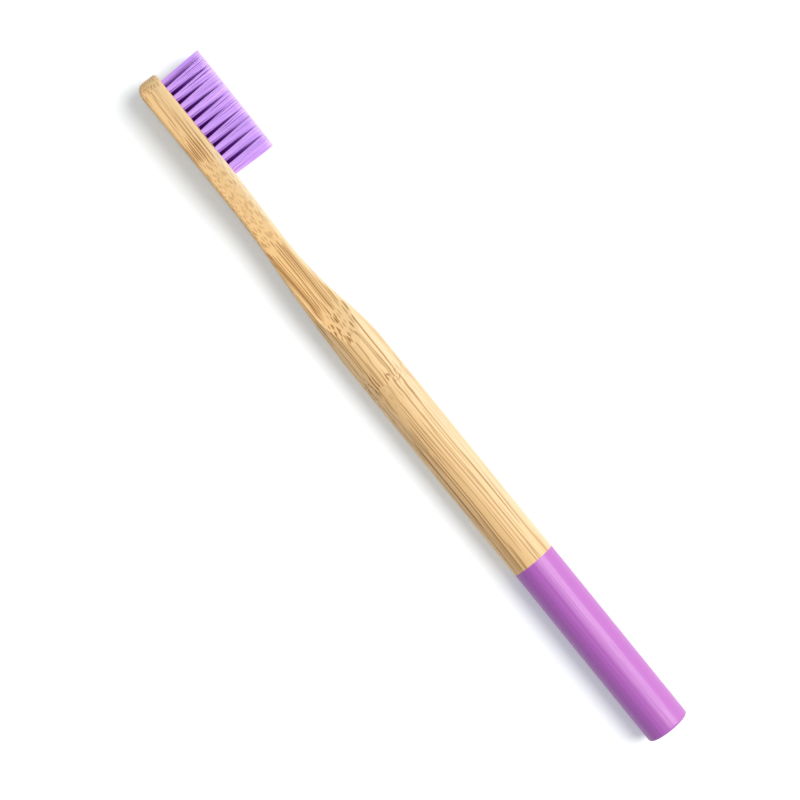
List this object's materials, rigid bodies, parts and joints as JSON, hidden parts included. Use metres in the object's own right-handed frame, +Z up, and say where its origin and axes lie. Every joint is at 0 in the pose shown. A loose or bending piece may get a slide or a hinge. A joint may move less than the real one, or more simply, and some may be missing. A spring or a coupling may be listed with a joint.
{
  "type": "manual toothbrush",
  "caption": "Manual toothbrush with a round bamboo handle, milled neck and head, staple-set nylon tufts and a lacquer-dipped tail.",
  "frame": {"origin": "middle of the brush's box, on the surface that the brush lies on, on its side", "axes": "+X along the handle from the head to the tail, +Y the way the bristles point, +Z up from the surface"},
  "size_m": [0.19, 0.019, 0.0108],
  "materials": {
    "bamboo": "sanded and waxed",
    "lacquer": "satin",
    "nylon": "satin",
    "anchor_metal": "rolled"
  },
  "bodies": {
    "root": {"anchor_plates": "anchor_metal", "handle": "bamboo", "lacquer_dip": "lacquer", "tuft_a01": "nylon", "tuft_a02": "nylon", "tuft_a03": "nylon", "tuft_a04": "nylon", "tuft_a05": "nylon", "tuft_a06": "nylon", "tuft_a07": "nylon", "tuft_a08": "nylon", "tuft_a09": "nylon", "tuft_a10": "nylon", "tuft_b01": "nylon", "tuft_b02": "nylon", "tuft_b03": "nylon", "tuft_b04": "nylon", "tuft_b05": "nylon", "tuft_b06": "nylon", "tuft_b07": "nylon", "tuft_b08": "nylon", "tuft_b09": "nylon", "tuft_b10": "nylon", "tuft_b11": "nylon", "tuft_c01": "nylon", "tuft_c02": "nylon", "tuft_c03": "nylon", "tuft_c04": "nylon", "tuft_c05": "nylon", "tuft_c06": "nylon", "tuft_c07": "nylon", "tuft_c08": "nylon", "tuft_c09": "nylon", "tuft_c10": "nylon", "tuft_c11": "nylon", "tuft_d01": "nylon", "tuft_d02": "nylon", "tuft_d03": "nylon", "tuft_d04": "nylon", "tuft_d05": "nylon", "tuft_d06": "nylon", "tuft_d07": "nylon", "tuft_d08": "nylon", "tuft_d09": "nylon", "tuft_d10": "nylon"}
  },
  "joints": []
}
